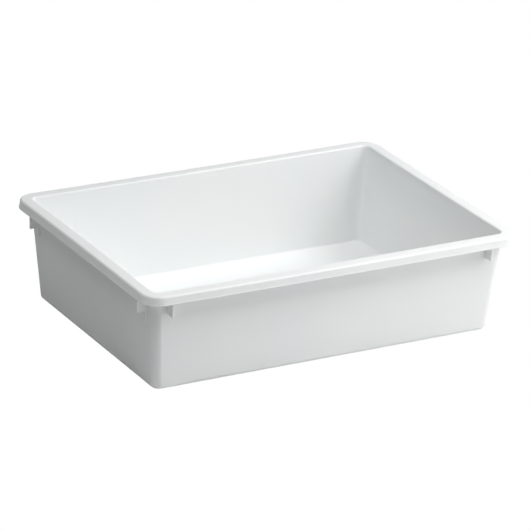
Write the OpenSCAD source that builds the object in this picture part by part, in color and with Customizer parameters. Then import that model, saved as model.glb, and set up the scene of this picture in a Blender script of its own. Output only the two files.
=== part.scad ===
// Deep rectangular processing tray, moulded in one piece from white polypropylene.
// Units are millimetres, +X runs along the long side and +Z points up.
// The origin is the middle of the underside, on the surface that the tray stands on.
// Every node is a region of the one moulding, and meets its neighbours face to face.

/* [Tray] */
// Length over the rim
tray_length = 420; // [380:1:460]
// Width over the rim
tray_width = 300; // [270:1:340]
// Height from the underside to the top of the rim
tray_height = 106.5; // [90:0.5:130]

/* [Walls and floor] */
// Thickness of the walls, the floor and the top of the rim
wall = 2.5; // [2.3:0.1:3.5]
// Outward lean of every wall, in degrees
draft = 5; // [3:0.5:8]
// Outside radius of the four upright corners
corner_r = 9; // [8:0.5:14]
// Outside radius where the walls turn into the floor
base_edge_r = 4.4; // [3.8:0.1:6]

/* [Rim] */
// How far the rim stands out past the top of the walls
overhang = 11.7; // [10:0.1:16]
// Depth of the rim, from its top to the lower edge of the skirt
rim_depth = 9.5; // [8.5:0.1:14]
// Radius of the edge where the rim turns down into the tray
lip_r = 2.2; // [1:0.1:2.2]
// Thickness of the skirt
skirt_t = 2; // [1.5:0.1:2.5]
// How far the skirt leans out over its depth
skirt_lean = 0.6; // [0:0.1:1.5]
// How far the bead along the lower edge stands out
bead_out = 0.3; // [0.2:0.1:1.5]
// Height of the bead
bead_height = 1.8; // [1:0.1:3]

/* [Stacking lugs] */
// Height from the foot of a lug to the top of the rim, which is how high nested trays stand apart
lug_drop = 24.2; // [18:0.1:40]
// Thickness of a lug
lug_t = 2; // [1.5:0.1:4]
// How much further in than the skirt a lug's outer edge is at its foot
lug_foot_in = 0.4; // [0:0.1:2]
// Distance from the middle of a long side to its lug on the left, seen from outside
long_lug_left = 181; // [100:0.5:184]
// Distance from the middle of a long side to its lug on the right, seen from outside
long_lug_right = 176.5; // [100:0.5:184]
// Distance from the middle of a short side to its lug on the left, seen from outside
short_lug_left = 114; // [60:0.5:124]
// Distance from the middle of a short side to its lug on the right, seen from outside
short_lug_right = 121.5; // [60:0.5:124]
// How far the rib under a lug on a short side stands out from the wall
rib_out = 2.3; // [1:0.1:4]
// How far that rib runs on below the lug
rib_length = 8.8; // [4:0.1:20]

/* [Hidden] */
$fn = 64;
white = "whitesmoke";

// Sides in anticlockwise order from above. Each corner is the one that follows its side.
SIDES = ["front", "right", "back", "left"];
CORNERS = ["front_right", "back_right", "back_left", "front_left"];
// The left and the right lug of each side, seen from outside, named by the corner they are near
LUG_ENDS = [["left", "right"], ["front", "back"], ["right", "left"], ["back", "front"]];
INDEX = [0 : len(SIDES) - 1];
ENDS = [0, 1];

function lug_name(side, end) = str("lug_", SIDES[side], "_", LUG_ENDS[side][end]);

// Slopes, and sizes measured level rather than square to the leaning walls
lean = tan(draft);
level_wall = wall / cos(draft);
level_corner_r = corner_r / cos(draft);

// The base edge is drawn by radius from the centre of its corners, and by height
floor_r = level_corner_r - base_edge_r * cos(draft);
base_edge_height = base_edge_r * (1 - sin(draft));

// The rim is drawn by radius from the centre of its corners, and by height
rim_corner_r = overhang + level_corner_r;
flange_z = tray_height - wall;
flange_in = wall_face(flange_z) - level_wall;
skirt_top_r = rim_corner_r - bead_out - skirt_lean;
skirt_z = tray_height - rim_depth;

// Along a long side the lugs are plain. On a short side each has a rib under it.
lug_z = tray_height - lug_drop;
rib_z = lug_z - rib_length;

// From the centre line of the tray to the outer edge of the rim, square to a side and along it
function rim_half(side) = (side % 2 == 0 ? tray_width : tray_length) / 2;
function along_half(side) = rim_half(side + 1);
// From the centre line of the tray to the outer face of the wall, at the underside
function base_half(side) = rim_half(side) - overhang - tray_height * lean;
// Radius of the wall's outer face from the centre of the rim's corner, at a height
function wall_face(z) = level_corner_r - (tray_height - z) * lean;
// Distance of a lug from the middle of its side, towards the right seen from outside
function lug_place(side, end) =
    side % 2 == 0 ? [-long_lug_left, long_lug_right][end] : [-short_lug_left, short_lug_right][end];

// Turns a shape drawn for the right-hand side, facing +X, round to another side
module on_side(side) {
    rotate([0, 0, 90 * (side - 1)])
        children();
}

// Keeps what lies between two heights
module between(low, high) {
    intersection() {
        children();
        translate([-tray_length, -tray_length, low])
            cube([2 * tray_length, 2 * tray_length, high - low]);
    }
}

// Extrudes an outline of radius and height along one side, between the two corner centres
module run_along(side, radius_at, corner_at) {
    on_side(side)
        translate([radius_at, 0, 0])
            rotate([90, 0, 0])
                linear_extrude(2 * corner_at, center = true)
                    children();
}

// Turns an outline of radius and height round the corner that follows a side
module round_corner(side, radius_at, corner_at) {
    on_side(side)
        translate([radius_at, corner_at, 0])
            rotate_extrude(angle = 90)
                children();
}

// Round edge where the floor turns up into the walls
module base_edge_outline() {
    intersection() {
        translate([floor_r, base_edge_r])
            difference() {
                circle(base_edge_r);
                circle(base_edge_r - wall);
            }
        translate([floor_r, 0])
            square([base_edge_r, base_edge_height]);
    }
}

// Top of the rim with its two rounded edges. The outer one is as round as the rim is thick.
module flange_outline() {
    lip = flange_in + lip_r;
    shoulder = skirt_top_r - wall;
    translate([flange_in, flange_z])
        square([shoulder - flange_in, wall - lip_r]);
    translate([lip, flange_z])
        square([shoulder - lip, wall]);
    intersection() {
        translate([lip, tray_height - lip_r])
            circle(lip_r);
        translate([flange_in, flange_z])
            square([2 * lip_r, wall]);
    }
    intersection() {
        translate([shoulder, flange_z])
            circle(wall);
        translate([shoulder - wall, flange_z])
            square([2 * wall, wall]);
    }
}

// Skirt with the bead along its lower edge
module skirt_outline() {
    low_r = skirt_top_r + skirt_lean;
    polygon([
        [skirt_top_r - skirt_t, flange_z],
        [skirt_top_r, flange_z],
        [low_r, skirt_z + bead_height],
        [rim_corner_r, skirt_z + bead_height / 2],
        [rim_corner_r, skirt_z],
        [low_r - skirt_t, skirt_z]
    ]);
}

// Upright plate that fills the channel under the rim and reaches down past the skirt
module lug_outline(has_rib) {
    foot_r = skirt_top_r + skirt_lean - skirt_t - lug_foot_in;
    rib = [
        [wall_face(lug_z) + rib_out, lug_z],
        [wall_face(rib_z) + rib_out, rib_z],
        [wall_face(rib_z), rib_z]
    ];
    polygon(concat(
        [
            [wall_face(flange_z), flange_z],
            [skirt_top_r - skirt_t, flange_z],
            [skirt_top_r + skirt_lean - skirt_t, skirt_z],
            [foot_r, lug_z]
        ],
        has_rib ? rib : [[wall_face(lug_z), lug_z]]
    ));
}

// Centre of an upright corner at the base edge, and at the rim
function base_centre(side) = base_half(side) + base_edge_height * lean - level_corner_r;
function rim_centre(side) = rim_half(side) - rim_corner_r;

// Flat plate with round corners, inside the base edge
module tray_floor() {
    half_x = base_centre(1);
    half_y = base_centre(0);
    color(white)
        linear_extrude(wall) {
            square([2 * (half_x + floor_r), 2 * half_y], center = true);
            square([2 * half_x, 2 * (half_y + floor_r)], center = true);
            for (x = [-half_x, half_x])
                for (y = [-half_y, half_y])
                    translate([x, y])
                        circle(floor_r);
        }
}

module base_edge(side) {
    color(white)
        run_along(side, base_centre(side), base_centre(side + 1))
            base_edge_outline();
}

module base_edge_corner(side) {
    color(white)
        round_corner(side, base_centre(side), base_centre(side + 1))
            base_edge_outline();
}

// Leaning flat wall, wider at the top because the upright corners lean with it
module wall_side(side) {
    slope_length = tray_height / cos(draft);
    low_half = base_half(side + 1) - level_corner_r;
    high_half = low_half + tray_height * lean;
    color(white)
        between(base_edge_height, flange_z)
            on_side(side)
                translate([base_half(side), 0, 0])
                    rotate([0, draft, 0])
                        translate([-wall, 0, 0])
                            rotate([90, 0, 90])
                                linear_extrude(wall)
                                    polygon([
                                        [-low_half, 0],
                                        [low_half, 0],
                                        [high_half, slope_length],
                                        [-high_half, slope_length]
                                    ]);
}

// Quarter of a tube that leans along the diagonal, tangent to the two leaning walls beside it
module wall_corner(side) {
    tilt = atan(sqrt(2) * lean);
    sweep = acos(pow(sin(draft), 2));
    color(white)
        between(base_edge_height, flange_z)
            on_side(side)
                translate([base_half(side) - level_corner_r, base_half(side + 1) - level_corner_r, 0])
                    rotate([0, tilt, 45])
                        rotate([0, 0, -sweep / 2])
                            rotate_extrude(angle = sweep)
                                translate([corner_r - wall, 0])
                                    square([wall, (tray_height + corner_r) / cos(tilt)]);
}

module rim_flange(side) {
    color(white)
        run_along(side, rim_centre(side), rim_centre(side + 1))
            flange_outline();
}

module rim_flange_corner(side) {
    color(white)
        round_corner(side, rim_centre(side), rim_centre(side + 1))
            flange_outline();
}

module rim_skirt(side) {
    color(white)
        run_along(side, rim_centre(side), rim_centre(side + 1))
            skirt_outline();
}

module rim_skirt_corner(side) {
    color(white)
        round_corner(side, rim_centre(side), rim_centre(side + 1))
            skirt_outline();
}

module lug(side, end) {
    color(white)
        on_side(side)
            translate([rim_centre(side), lug_place(side, end), 0])
                rotate([90, 0, 0])
                    linear_extrude(lug_t, center = true)
                        lug_outline(has_rib = side % 2 == 1);
}

tray_floor();  // floor
for (side = INDEX) {
    base_edge(side);
    base_edge_corner(side);
    wall_side(side);
    wall_corner(side);
    rim_flange(side);
    rim_flange_corner(side);
    rim_skirt(side);
    rim_skirt_corner(side);
    for (end = ENDS) {
        lug(side, end);
    }
}
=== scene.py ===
"""Looks of the developing tray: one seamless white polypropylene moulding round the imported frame."""
import math
from typing import NamedTuple

import bpy
from mathutils import Matrix, Vector


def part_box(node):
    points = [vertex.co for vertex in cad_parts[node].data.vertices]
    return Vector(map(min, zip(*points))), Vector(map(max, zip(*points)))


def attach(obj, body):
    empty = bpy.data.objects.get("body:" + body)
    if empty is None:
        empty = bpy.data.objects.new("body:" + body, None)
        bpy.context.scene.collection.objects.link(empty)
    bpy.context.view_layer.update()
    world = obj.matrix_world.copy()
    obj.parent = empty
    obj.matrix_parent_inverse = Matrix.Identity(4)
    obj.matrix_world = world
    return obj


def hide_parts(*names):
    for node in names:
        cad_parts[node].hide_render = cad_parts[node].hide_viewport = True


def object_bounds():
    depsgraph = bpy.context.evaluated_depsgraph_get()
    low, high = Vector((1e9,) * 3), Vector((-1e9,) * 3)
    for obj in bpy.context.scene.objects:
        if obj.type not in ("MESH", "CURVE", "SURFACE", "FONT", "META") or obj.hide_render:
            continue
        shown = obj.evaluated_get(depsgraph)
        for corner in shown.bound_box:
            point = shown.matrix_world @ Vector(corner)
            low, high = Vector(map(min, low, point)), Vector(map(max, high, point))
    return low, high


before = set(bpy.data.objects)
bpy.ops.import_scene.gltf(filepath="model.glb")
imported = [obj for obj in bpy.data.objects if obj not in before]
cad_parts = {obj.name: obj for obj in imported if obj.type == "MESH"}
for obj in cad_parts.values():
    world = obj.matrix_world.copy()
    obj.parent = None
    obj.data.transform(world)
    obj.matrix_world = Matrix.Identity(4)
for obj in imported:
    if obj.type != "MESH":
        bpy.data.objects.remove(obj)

cad_low, cad_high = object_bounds()

MM = 0.001

# ---------------------------------------------------------------------------
# Sizes, in metres. Most are read from the frame's nodes.
# ---------------------------------------------------------------------------

SIDES = ("front", "right", "back", "left")
TOP = cad_high.z
HALF = (cad_high.y, cad_high.x, cad_high.y, cad_high.x)    # outer edge of the rim, by side
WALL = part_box("floor")[1].z

flange_low, flange_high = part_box("rim_flange_front")
skirt_low, skirt_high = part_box("rim_skirt_front")
skirt_corner_low, skirt_corner_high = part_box("rim_skirt_corner_front_right")
wall_low, wall_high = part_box("wall_front")
base_low, base_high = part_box("base_edge_front")

FLANGE_Z = wall_high.z                                     # underside of the rim's top
SHOULDER_R = TOP - FLANGE_Z                                # where the rim turns down into the skirt
SKIRT_Z = skirt_low.z
SKIRT_TOP_INSET = HALF[0] + flange_low.y
SKIRT_T = skirt_high.y - flange_low.y
RIM_CORNER_R = skirt_corner_high.x - skirt_corner_low.x

BASE_EDGE_TOP = base_high.z
LEAN = (base_low.y - wall_low.y) / (FLANGE_Z - BASE_EDGE_TOP)
DRAFT = math.atan(LEAN)
LEVEL_WALL = WALL / math.cos(DRAFT)
BASE_EDGE_R = BASE_EDGE_TOP / (1 - math.sin(DRAFT))
OVERHANG = HALF[0] + wall_low.y - (TOP - FLANGE_Z) * LEAN

LUG_FOOT_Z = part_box("lug_front_left")[0].z
RIB_FOOT_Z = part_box("lug_left_front")[0].z
LUG_FOOT_IN = 0.4 * MM          # a lug's outer edge leans in this much towards its foot
LUG_CORNER_R = 0.8 * MM         # rounding of a lug's outer corner
RIB_OUT = 2.3 * MM              # the rib under a short side's lug stands out this much

BEAD_OUT = 0.3 * MM             # the bead along the skirt's lower edge stands out this much
BEAD_HEIGHT = 1.8 * MM
LIP_R = 2.2 * MM                # edge where the rim turns down into the tray
CHANNEL_WALL_R = 1.2 * MM       # fillet between a wall and the underside of the rim
CHANNEL_SKIRT_R = 0.8 * MM      # fillet between the underside of the rim and the skirt
EDGE_R = 0.35 * MM              # rounding of the free edges
EDGE_RUN_OUT = 3 * EDGE_R       # a lug's rounded edges fade out over this length at their ends
FLANGE_FALL = 0.2 * MM          # the top of the rim falls this much towards its shoulder
SHORT_SIDE_BOW = 1.1 * MM       # the short walls pull in this much at the middle of the rim
LONG_SIDE_SAG = 0.8 * MM        # the long sides of the rim sit this much lower at the middle
GATE_R = 5 * MM                 # round mark where the plastic entered, under the floor
GATE_DEPTH = 0.5 * MM
SPRUE_R = 1.6 * MM              # stub left in the middle of that mark

# ---------------------------------------------------------------------------
# Fineness of the mesh
# ---------------------------------------------------------------------------

STATION_STEP = 10 * MM          # spacing of the columns along a side
PLACE_DIGITS = 5                # places along a side are rounded to this many decimals
CORNER_STEPS = 16
GATE_STEPS = 32
OUTSIDE_STEPS = 9               # rows up the outside of a wall, below the lugs
RIB_STEPS = 2
CHANNEL_STEPS = 3               # rows up the wall between a lug's foot and the rim
INSIDE_STEPS = 11
BASE_EDGE_STEPS = 8
SHOULDER_STEPS = 12
FILLET_STEPS = 6
EDGE_STEPS = 3
BEAD_STEPS = 4
SHARP_ANGLE = math.radians(50)  # edges that turn by more than this are shaded sharp

# ---------------------------------------------------------------------------
# Plastic
# ---------------------------------------------------------------------------

PLASTIC_COOL = (0.895, 0.92, 0.924, 1)
PLASTIC_WARM = (0.914, 0.925, 0.919, 1)
PLASTIC_IOR = 1.49
ROUGH_LOW = 0.36
ROUGH_HIGH = 0.44
WAVE_DEPTH = 0.2 * MM           # slow waves that the mould's cooling leaves in the walls
GRAIN_DEPTH = 0.02 * MM
CLOUD_SCALE = 7                 # noise scales, in cells to a metre
WAVE_SCALE = 14
GLOSS_SCALE = 45
GRAIN_SCALE = 1600
NOISE_LOW = 0.3                 # a noise texture mostly stays between these two
NOISE_HIGH = 0.7

# ---------------------------------------------------------------------------
# Studio. Azimuth 0 is in front of the tray and 90 on its right, in degrees.
# ---------------------------------------------------------------------------

CAMERA_AZIMUTH = -29.720
CAMERA_ELEVATION = 22.124
CAMERA_ROLL = 2.372
CAMERA_DISTANCE = 3.8464
CAMERA_AIM = Vector((0.00133, 0.00013, 0.05190))
CAMERA_LENS = 259.2             # millimetres, like the sensor
CAMERA_SENSOR = 36
CAMERA_REACH = 100              # how far the camera sees

KEY_DISTANCE = 1.4
KEY_SIZE = (0.5, 0.5)
# Azimuth, elevation and power of the softboxes that make up the one broad key light
KEY_SOFTBOXES = (
    (45, 50, 4.1),
    (60, 35, 3.2),
    (60, 11, 2.9),
    (30, 22, 1.4),
    (90, 50, 3.5),
    (0, 60, 3.6),
)

WHITE = (1, 1, 1, 1)
FLOOR_TONE = (0.8, 0.8, 0.8, 1)
FLOOR_HALF = 30
FLOOR_GAP = 0.1 * MM            # the floor lies this much below the tray


# ---------------------------------------------------------------------------
# Outline of the moulding, from the underside over the rim to the floor
# ---------------------------------------------------------------------------

class Row(NamedTuple):
    """One point of the outline. The inset runs inwards from the outer edge of the rim."""
    inset: float
    z: float
    leans: bool     # whether its corners are centred on the leaning walls, or on the rim


def arc(inset, z, radius, start, end, steps, leans=True):
    """Rows along an arc. Angle 0 points out of the tray and 90 up."""
    angles = [math.radians(start + (end - start) * step / steps) for step in range(steps + 1)]
    return [Row(inset - radius * math.cos(a), z + radius * math.sin(a), leans) for a in angles]


def wall_inset(z):
    """Inset of the walls' outer face at a height."""
    return OVERHANG + (TOP - z) * LEAN


def wall_rows(low, high, steps, inside=False):
    """Rows up or down a wall, both ends left out."""
    offset = LEVEL_WALL if inside else 0
    heights = [low + (high - low) * step / steps for step in range(1, steps)]
    return [Row(wall_inset(z) + offset, z, True) for z in heights]


def wall_row(z):
    return Row(wall_inset(z), z, True)


def bead_rows():
    """From the bead's lower edge up to the plain skirt."""
    rows = arc(EDGE_R, SKIRT_Z + EDGE_R, EDGE_R, -90, 0, EDGE_STEPS, leans=False)
    middle_z = SKIRT_Z + BEAD_HEIGHT / 2
    for step in range(BEAD_STEPS + 1):
        share = step / BEAD_STEPS
        swell = (1 + math.cos(math.pi * share)) / 2
        rows.append(Row(BEAD_OUT * (1 - swell), middle_z + BEAD_HEIGHT / 2 * share, False))
    return rows


def shoulder_rows():
    """From the skirt round onto the top of the rim, which falls slightly outwards."""
    inset = SKIRT_TOP_INSET + SHOULDER_R
    fall = FLANGE_FALL / SHOULDER_R
    rows = arc(inset, FLANGE_Z, SHOULDER_R, 0, 90, SHOULDER_STEPS, leans=False)
    return [row._replace(z=row.z - fall * (row.z - FLANGE_Z)) for row in rows]


def tray_outline():
    """The rows in order, and the rows that the lugs start and end on."""
    base_inset = wall_inset(BASE_EDGE_TOP) + BASE_EDGE_R * math.cos(DRAFT)
    draft = math.degrees(DRAFT)
    rows = arc(base_inset, BASE_EDGE_R, BASE_EDGE_R, -90, -draft, BASE_EDGE_STEPS)
    rows += wall_rows(BASE_EDGE_TOP, RIB_FOOT_Z, OUTSIDE_STEPS)
    marks = {"rib_foot": len(rows)}
    rows.append(wall_row(RIB_FOOT_Z))
    rows += wall_rows(RIB_FOOT_Z, LUG_FOOT_Z, RIB_STEPS)
    marks["lug_foot"] = len(rows)
    rows.append(wall_row(LUG_FOOT_Z))

    fillet_z = FLANGE_Z - CHANNEL_WALL_R
    fillet_inset = wall_inset(fillet_z) - CHANNEL_WALL_R / math.cos(DRAFT)
    rows += wall_rows(LUG_FOOT_Z, fillet_z, CHANNEL_STEPS)
    rows += arc(fillet_inset, fillet_z, CHANNEL_WALL_R, 180 - draft, 90, FILLET_STEPS)
    skirt_inset = SKIRT_TOP_INSET + SKIRT_T + CHANNEL_SKIRT_R
    skirt_z = FLANGE_Z - CHANNEL_SKIRT_R
    rows += arc(skirt_inset, skirt_z, CHANNEL_SKIRT_R, 90, 0, FILLET_STEPS, leans=False)
    marks["skirt_foot"] = len(rows)
    foot_inset = BEAD_OUT + SKIRT_T - EDGE_R
    rows += arc(foot_inset, SKIRT_Z + EDGE_R, EDGE_R, 180, 270, EDGE_STEPS, leans=False)
    rows += bead_rows()
    rows += shoulder_rows()

    lip_z = TOP - LIP_R
    lip_inset = wall_inset(lip_z) + LEVEL_WALL - LIP_R / math.cos(DRAFT)
    rows += arc(lip_inset, lip_z, LIP_R, 90, 180 - draft, FILLET_STEPS)
    rows += wall_rows(lip_z, BASE_EDGE_R, INSIDE_STEPS, inside=True)
    rows += arc(base_inset, BASE_EDGE_R, BASE_EDGE_R - WALL, -draft, -90, FILLET_STEPS)
    return rows, marks


# ---------------------------------------------------------------------------
# Plan of the moulding: columns round the tray, anticlockwise from above
# ---------------------------------------------------------------------------

def outward(side):
    return (Vector((0, -1)), Vector((1, 0)), Vector((0, 1)), Vector((-1, 0)))[side % len(SIDES)]


def along(side):
    return outward(side + 1)


def corner_inset(row):
    """Inset of the corner centres at a row."""
    z = max(row.z, BASE_EDGE_TOP) if row.leans else TOP
    return RIM_CORNER_R + (TOP - z) * LEAN


def run_half(side, row):
    """Half the length of a side between its corner centres."""
    return HALF[(side + 1) % len(SIDES)] - corner_inset(row)


def placed(side, place, row):
    """A place along a side, drawn in where the side is shorter than it is at the lugs."""
    half = run_half(side, row)
    share = min(1.0, half / run_half(side, wall_row(RIB_FOOT_Z)))
    return max(-half, min(half, place * share))


def side_point(side, place, row):
    return outward(side) * (HALF[side] - row.inset) + along(side) * placed(side, place, row)


def corner_point(side, angle, row):
    """A point round the corner that follows a side."""
    inset = corner_inset(row)
    radius = inset - row.inset
    centre = outward(side) * (HALF[side] - inset) + along(side) * run_half(side, row)
    return centre + (outward(side) * math.cos(angle) + along(side) * math.sin(angle)) * radius


def lug_span(name, side):
    """Where a lug starts and ends along its side."""
    low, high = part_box(name)
    ends = sorted(along(side).dot(corner.xy) for corner in (low, high))
    return tuple(round(end, PLACE_DIGITS) for end in ends)


LUGS = {
    name: SIDES.index(name.split("_")[1])
    for name in sorted(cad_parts) if name.startswith("lug_")
}
RIBBED_LUGS = {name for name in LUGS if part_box(name)[0].z < LUG_FOOT_Z - EDGE_R}


def side_places(side):
    """Columns along a side: an even spacing, with columns at both faces of each lug."""
    lug_ends = {
        sign * end
        for name, lug_side in LUGS.items() if (lug_side - side) % 2 == 0
        for end in lug_span(name, lug_side)
        for sign in (-1, 1)
    }
    count = int((min(abs(end) for end in lug_ends) - STATION_STEP / 2) / STATION_STEP)
    even = {round(step * STATION_STEP, PLACE_DIGITS) for step in range(-count, count + 1) if step}
    return [-math.inf, *sorted(lug_ends | even), math.inf]


def settled(point):
    """Where a point is after the moulding has cooled: short walls drawn in, long sides of the rim sunk.

    Both grow towards the rim and towards the middle of their side, and die out away from the walls.
    """
    height = point.z / TOP
    out_x = abs(point.x) / HALF[1]
    out_y = abs(point.y) / HALF[0]
    bow = SHORT_SIDE_BOW * height ** 2 * max(0.0, 1 - out_y ** 2) * out_x ** 4
    sag = LONG_SIDE_SAG * height ** 2 * max(0.0, 1 - out_x ** 2) * out_y ** 4
    return Vector((point.x - math.copysign(bow, point.x), point.y, point.z - sag))


# ---------------------------------------------------------------------------
# Mesh of the moulding
# ---------------------------------------------------------------------------

class Shell:
    """Collects the vertices and faces of the one closed mesh."""

    def __init__(self):
        self.points = []
        self.faces = []

    def add(self, plan, z):
        self.points.append(settled(Vector((plan[0], plan[1], z))))
        return len(self.points) - 1

    def face(self, *corners):
        """Adds a face, without the corners that fall together."""
        kept = [c for i, c in enumerate(corners) if c != corners[i - 1]]
        if len(kept) > 2:
            self.faces.append(kept)

    def strip(self, first, second):
        """Faces between two equally long lines of vertices."""
        for i in range(len(first) - 1):
            self.face(first[i], first[i + 1], second[i + 1], second[i])


def ring_columns():
    """Every column as (side, place) on a side or (side, angle) on a corner, and where each side starts."""
    columns = []
    starts = []
    for side in range(len(SIDES)):
        starts.append(len(columns))
        columns += [(side_point, side, place) for place in side_places(side)]
        steps = range(1, CORNER_STEPS)
        columns += [(corner_point, side, math.pi / 2 * step / CORNER_STEPS) for step in steps]
    return columns, starts


def add_core(shell, row):
    """Grid of vertices on the floor, inside the corner centres."""
    xs = [placed(0, place, row) for place in side_places(0)]
    ys = [placed(1, place, row) for place in side_places(1)]
    return [[shell.add((x, y), row.z) for y in ys] for x in xs]


def core_edge(core, side):
    """The core's outer vertices along a side, anticlockwise."""
    edges = (
        [line[0] for line in core],
        core[-1],
        [line[-1] for line in reversed(core)],
        core[0][::-1],
    )
    return edges[side]


def join_core(shell, core, ring, starts, facing_up):
    """Faces between a ring and the core inside it, with a fan at each corner."""
    for side, start in enumerate(starts):
        edge = core_edge(core, side)
        run = ring[start:start + len(edge)]
        following = starts[side + 1] if side + 1 < len(starts) else len(ring)
        bend = [*ring[start + len(edge) - 1:following], ring[following % len(ring)]]
        pairs = [(edge, run), ([edge[-1]] * len(bend), bend)]
        for inner, outer in pairs:
            if facing_up:
                shell.strip(outer, inner)
            else:
                shell.strip(inner, outer)


def fill_core(shell, core, facing_up, skip=None):
    """Faces of the core's grid, leaving out one cell if asked."""
    for i in range(len(core) - 1):
        for j in range(len(core[i]) - 1):
            if (i, j) == skip:
                continue
            corners = (core[i][j], core[i][j + 1], core[i + 1][j + 1], core[i + 1][j])
            shell.face(*(reversed(corners) if facing_up else corners))


def add_circle(shell, radius, z):
    angles = [2 * math.pi * step / GATE_STEPS for step in range(GATE_STEPS)]
    return [shell.add((radius * math.cos(a), radius * math.sin(a)), z) for a in angles]


def add_gate_mark(shell, core, cell):
    """Shallow round well with the stub of the sprue, in the middle of the underside."""
    i, j = cell
    square = (core[i + 1][j + 1], core[i][j + 1], core[i][j], core[i + 1][j])
    rings = [
        add_circle(shell, radius, z)
        for radius, z in (
            (GATE_R, 0),
            (GATE_R - EDGE_R, GATE_DEPTH),
            (SPRUE_R + EDGE_R, GATE_DEPTH),
            (SPRUE_R, EDGE_R),
            (SPRUE_R - EDGE_R, EDGE_R / 2),
        )
    ]
    quarter = GATE_STEPS // len(square)
    for turn, corner in enumerate(square):
        first = turn * quarter + quarter // 2
        bend = [rings[0][(first + step) % GATE_STEPS] for step in range(quarter + 1)]
        shell.face(corner, *bend, square[(turn + 1) % len(square)])
    for outer, inner in zip(rings, rings[1:]):
        shell.strip(inner + inner[:1], outer + outer[:1])
    shell.face(*reversed(rings[-1]))


def lug_path(has_rib):
    """Free edge of a lug as (inset, height), from the skirt down and back to the wall."""
    skirt_inset = BEAD_OUT + SKIRT_T
    foot_inset = skirt_inset + LUG_FOOT_IN
    wall_at_foot = wall_inset(LUG_FOOT_Z)
    wall_at_rib = wall_inset(RIB_FOOT_Z)
    corner = arc(foot_inset + LUG_CORNER_R, LUG_FOOT_Z + LUG_CORNER_R, LUG_CORNER_R, 0, -90, EDGE_STEPS)
    path = [(skirt_inset, SKIRT_Z + EDGE_R), (skirt_inset, SKIRT_Z + EDGE_R - EDGE_RUN_OUT)]
    path += [(row.inset, row.z) for row in corner]
    if has_rib:
        path += [
            (wall_at_foot - RIB_OUT, LUG_FOOT_Z),
            (wall_at_rib - RIB_OUT, RIB_FOOT_Z + EDGE_R),
            (wall_at_rib - RIB_OUT + EDGE_R, RIB_FOOT_Z),
            (wall_at_rib - EDGE_R, RIB_FOOT_Z),
            (wall_at_rib, RIB_FOOT_Z),
        ]
    else:
        path += [(wall_at_foot - EDGE_RUN_OUT, LUG_FOOT_Z), (wall_at_foot, LUG_FOOT_Z)]
    return [Vector(point) for point in path]


def moved_in(path, amount):
    """The inner points of a path, moved into the lug."""
    moved = []
    for before, point, after in zip(path, path[1:], path[2:]):
        first = (point - before).normalized()
        second = (after - point).normalized()
        inner = Vector((-first.y - second.y, first.x + second.x)).normalized()
        mitre = inner.dot(Vector((-first.y, first.x)))
        moved.append(point + inner * (amount / mitre))
    return moved


def add_lug(shell, grid, foot, skirt_foot, column, name, side):
    """Fills the channel under the rim between a column and the next, down to the lug's foot."""
    path = lug_path(name in RIBBED_LUGS)
    low, high = lug_span(name, side)
    # The edge on each face is a quarter circle in two steps: (into the lug, in from its face).
    halfway = EDGE_R * (1 - math.sqrt(0.5))
    rounding = ((EDGE_R, 0), (halfway, halfway), (0, EDGE_R))
    lines = [(into, low + shift) for into, shift in rounding]
    lines += [(into, high - shift) for into, shift in reversed(rounding)]
    free = [
        [
            shell.add(outward(side) * (HALF[side] - point.x) + along(side) * place, point.y)
            for point in moved_in(path, into)
        ]
        for into, place in lines
    ]
    half = len(rounding)
    ends = [[grid[row][column]] * half + [grid[row][column + 1]] * half for row in (skirt_foot, foot)]
    sections = [ends[0], *zip(*free), ends[1]]
    for upper, lower in zip(sections, sections[1:]):
        shell.strip(lower, upper)
    channel = range(foot, skirt_foot + 1)
    shell.face(*reversed([grid[row][column] for row in channel] + free[0]))
    shell.face(*[grid[row][column + 1] for row in channel], *free[-1])


def build_tray():
    """The whole moulding as one closed mesh."""
    shell = Shell()
    rows, marks = tray_outline()
    columns, starts = ring_columns()
    grid = [[shell.add(at(side, where, row), row.z) for at, side, where in columns] for row in rows]

    filled = set()
    for name, side in LUGS.items():
        place = lug_span(name, side)[0]
        column = starts[side] + side_places(side).index(place)
        foot = marks["rib_foot" if name in RIBBED_LUGS else "lug_foot"]
        add_lug(shell, grid, foot, marks["skirt_foot"], column, name, side)
        filled |= {(row, column) for row in range(foot, marks["skirt_foot"])}

    count = len(columns)
    for row in range(len(rows) - 1):
        for column in range(count):
            if (row, column) not in filled:
                after = (column + 1) % count
                low_row, high_row = grid[row], grid[row + 1]
                shell.face(low_row[column], low_row[after], high_row[after], high_row[column])

    # No column runs through the middle of a side, so one cell of the floor lies round its centre.
    middle = tuple(side_places(side).index(-STATION_STEP) for side in (0, 1))
    underside = add_core(shell, rows[0])
    join_core(shell, underside, grid[0], starts, facing_up=False)
    fill_core(shell, underside, facing_up=False, skip=middle)
    add_gate_mark(shell, underside, middle)
    inside = add_core(shell, rows[-1])
    join_core(shell, inside, grid[-1], starts, facing_up=True)
    fill_core(shell, inside, facing_up=True)
    return shell


def make_object(name, shell):
    mesh = bpy.data.meshes.new(name)
    mesh.from_pydata(shell.points, [], shell.faces)
    mesh.shade_smooth()
    mesh.set_sharp_from_angle(angle=SHARP_ANGLE)
    piece = bpy.data.objects.new(name, mesh)
    bpy.context.scene.collection.objects.link(piece)
    weighted = piece.modifiers.new("flat_faces_stay_flat", "WEIGHTED_NORMAL")
    weighted.keep_sharp = True
    return piece


# ---------------------------------------------------------------------------
# Material
# ---------------------------------------------------------------------------

def add_node(tree, kind, links=None, values=None, **settings):
    """A shader node with its settings, its constant inputs and its linked inputs."""
    node = tree.nodes.new("ShaderNode" + kind)
    for name, value in settings.items():
        setattr(node, name, value)
    for name, value in (values or {}).items():
        node.inputs[name].default_value = value
    for name, source in (links or {}).items():
        tree.links.new(source, node.inputs[name])
    return node


def add_noise(tree, place, scale, detail=2.0):
    values = {"Scale": scale, "Detail": detail}
    return add_node(tree, "TexNoise", {"Vector": place}, values).outputs["Fac"]


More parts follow.
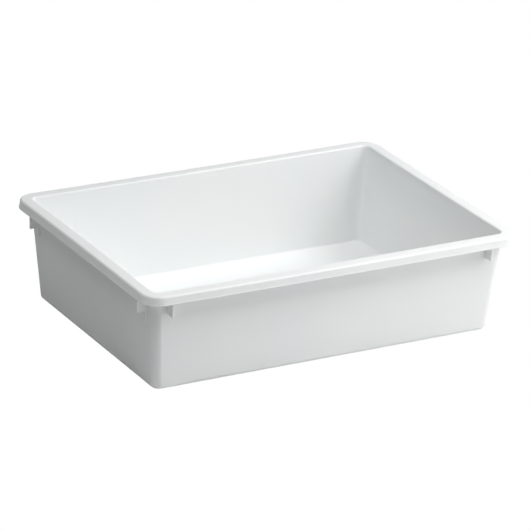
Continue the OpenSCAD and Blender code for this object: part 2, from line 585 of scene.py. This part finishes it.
def add_range(tree, noise, low, high):
    """The noise stretched so that its usual spread runs from low to high."""
    values = {"From Min": NOISE_LOW, "From Max": NOISE_HIGH, "To Min": low, "To Max": high}
    return add_node(tree, "MapRange", {"Value": noise}, values).outputs["Result"]


def polypropylene():
    """White satin plastic with a fine moulded grain, slightly uneven gloss and faint waves."""
    material = bpy.data.materials.new("white_polypropylene")
    material.use_nodes = True
    tree = material.node_tree
    shader = tree.nodes["Principled BSDF"]
    place = add_node(tree, "TexCoord").outputs["Object"]

    cloud = add_noise(tree, place, CLOUD_SCALE)
    tint = add_node(tree, "Mix", {"Factor": add_range(tree, cloud, 0, 1)}, data_type="RGBA")
    tint.inputs["A"].default_value = PLASTIC_COOL
    tint.inputs["B"].default_value = PLASTIC_WARM
    tree.links.new(tint.outputs["Result"], shader.inputs["Base Color"])

    gloss = add_noise(tree, place, GLOSS_SCALE, 4)
    tree.links.new(add_range(tree, gloss, ROUGH_LOW, ROUGH_HIGH), shader.inputs["Roughness"])

    wave_height = add_noise(tree, place, WAVE_SCALE, 1)
    grain_height = add_noise(tree, place, GRAIN_SCALE)
    waves = add_node(tree, "Bump", {"Height": wave_height}, {"Distance": WAVE_DEPTH, "Strength": 1})
    grain = add_node(
        tree, "Bump",
        {"Height": grain_height, "Normal": waves.outputs["Normal"]},
        {"Distance": GRAIN_DEPTH, "Strength": 1},
    )
    tree.links.new(grain.outputs["Normal"], shader.inputs["Normal"])
    shader.inputs["IOR"].default_value = PLASTIC_IOR
    return material


# ---------------------------------------------------------------------------
# Studio
# ---------------------------------------------------------------------------

def direction(azimuth, elevation):
    """Unit vector that points away from the tray."""
    a, e = math.radians(azimuth), math.radians(elevation)
    return Vector((math.sin(a) * math.cos(e), -math.cos(a) * math.cos(e), math.sin(e)))


def add_camera():
    camera = bpy.data.cameras.new("camera")
    camera.lens = CAMERA_LENS
    camera.sensor_width = CAMERA_SENSOR
    camera.clip_end = CAMERA_REACH
    holder = bpy.data.objects.new("camera", camera)
    bpy.context.scene.collection.objects.link(holder)
    back = direction(CAMERA_AZIMUTH, CAMERA_ELEVATION)
    turn = back.to_track_quat("Z", "Y").to_matrix() @ Matrix.Rotation(math.radians(CAMERA_ROLL), 3, "Z")
    holder.matrix_world = Matrix.Translation(CAMERA_AIM + back * CAMERA_DISTANCE) @ turn.to_4x4()
    bpy.context.scene.camera = holder


def add_softbox(name, azimuth, elevation, distance, size, power):
    light = bpy.data.lights.new(name, "AREA")
    light.shape = "RECTANGLE"
    light.size, light.size_y = size
    light.energy = power
    holder = bpy.data.objects.new(name, light)
    bpy.context.scene.collection.objects.link(holder)
    back = direction(azimuth, elevation)
    turn = back.to_track_quat("Z", "Y")
    holder.matrix_world = Matrix.Translation(back * distance) @ turn.to_matrix().to_4x4()


def add_world():
    """Shows the camera plain white, and gives the tray no light."""
    world = bpy.data.worlds.new("studio")
    world.use_nodes = True
    bpy.context.scene.world = world
    tree = world.node_tree
    rays = add_node(tree, "LightPath").outputs["Is Camera Ray"]
    white = add_node(tree, "Background", {"Strength": rays}, {"Color": WHITE})
    tree.links.new(white.outputs[0], tree.nodes["World Output"].inputs["Surface"])


def floor_paper():
    """Paper that throws light back at the tray, and is plain white to the camera."""
    material = bpy.data.materials.new("pale_floor")
    material.use_nodes = True
    tree = material.node_tree
    tree.nodes.remove(tree.nodes["Principled BSDF"])
    rays = add_node(tree, "LightPath").outputs["Is Camera Ray"]
    seen = add_node(tree, "Emission", values={"Color": WHITE, "Strength": 1})
    paper = add_node(tree, "BsdfDiffuse", values={"Color": FLOOR_TONE})
    mix = add_node(tree, "MixShader", {0: rays, 1: paper.outputs[0], 2: seen.outputs[0]})
    tree.links.new(mix.outputs[0], tree.nodes["Material Output"].inputs["Surface"])
    return material


def add_floor():
    mesh = bpy.data.meshes.new("studio_floor")
    corners = [(-1, -1), (1, -1), (1, 1), (-1, 1)]
    mesh.from_pydata([(x * FLOOR_HALF, y * FLOOR_HALF, -FLOOR_GAP) for x, y in corners], [], [(0, 1, 2, 3)])
    floor = bpy.data.objects.new("studio_floor", mesh)
    bpy.context.scene.collection.objects.link(floor)
    mesh.materials.append(floor_paper())


def add_lights():
    for number, (azimuth, elevation, power) in enumerate(KEY_SOFTBOXES, start=1):
        add_softbox(f"key_{number}", azimuth, elevation, KEY_DISTANCE, KEY_SIZE, power)
    add_softbox("fill_left", azimuth=-75, elevation=65, distance=2.5, size=(1.2, 1.2), power=20.6)
    add_softbox("wide_back", azimuth=150, elevation=20, distance=2.5, size=(4, 2), power=12.0)


# ---------------------------------------------------------------------------
# Scene
# ---------------------------------------------------------------------------

bpy.context.scene.view_settings.view_transform = "Standard"
tray = make_object("tray", build_tray())
tray.data.materials.append(polypropylene())
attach(tray, "root")
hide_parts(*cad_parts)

add_camera()
add_world()
add_floor()
add_lights()
